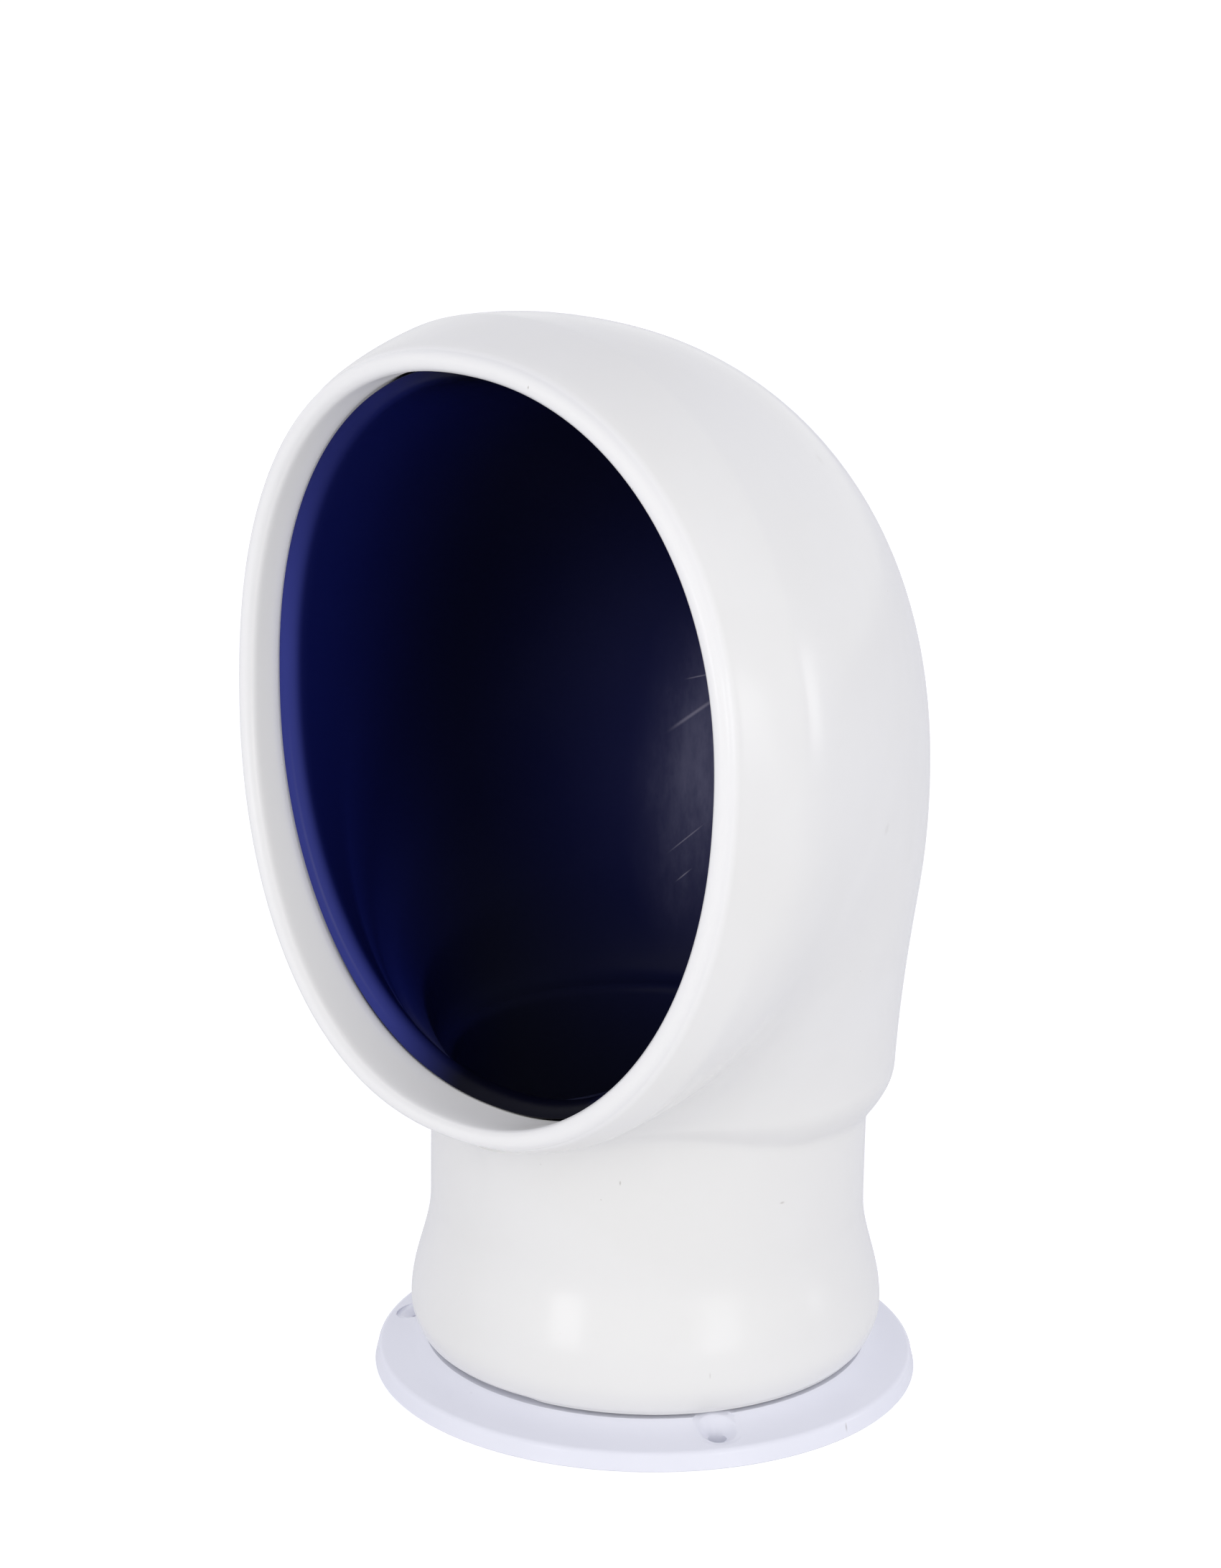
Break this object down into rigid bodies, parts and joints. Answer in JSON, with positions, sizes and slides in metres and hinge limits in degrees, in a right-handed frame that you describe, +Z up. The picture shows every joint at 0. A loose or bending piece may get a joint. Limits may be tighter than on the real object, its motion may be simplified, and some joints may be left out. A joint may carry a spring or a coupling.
{
  "type": "cowl vent",
  "caption": "Soft plastic cowl vent with an egg-shaped mouth and an inner liner, turning on a round screw-down deck flange.",
  "frame": {"origin": "on the axis of the neck, at the flange's underside that lies on the deck; the bottom centre of the bounding box lies about 1 mm from it", "axes": "+Z up along the neck's axis, away from the deck; -Y is the way the mouth looks at rest; +X to the right when looking along +Y"},
  "size_m": [0.201, 0.1521, 0.2968],
  "materials": {
    "deck_flange": "satin moulded rigid plastic, bluish white",
    "cowl_shell": "soft satin flexible plastic, white",
    "cowl_liner": "satin flexible plastic, deep blue"
  },
  "bodies": {
    "deck_ring": {"deck_flange": "deck_flange"},
    "cowl": {"cowl_shell": "cowl_shell", "cowl_liner": "cowl_liner"}
  },
  "joints": [
    {"name": "cowl_turn", "type": "hinge", "parent": "deck_ring", "child": "cowl", "pos_m": [0, 0, 0.02], "axis": [0, 0, 1], "continuous": true}
  ]
}
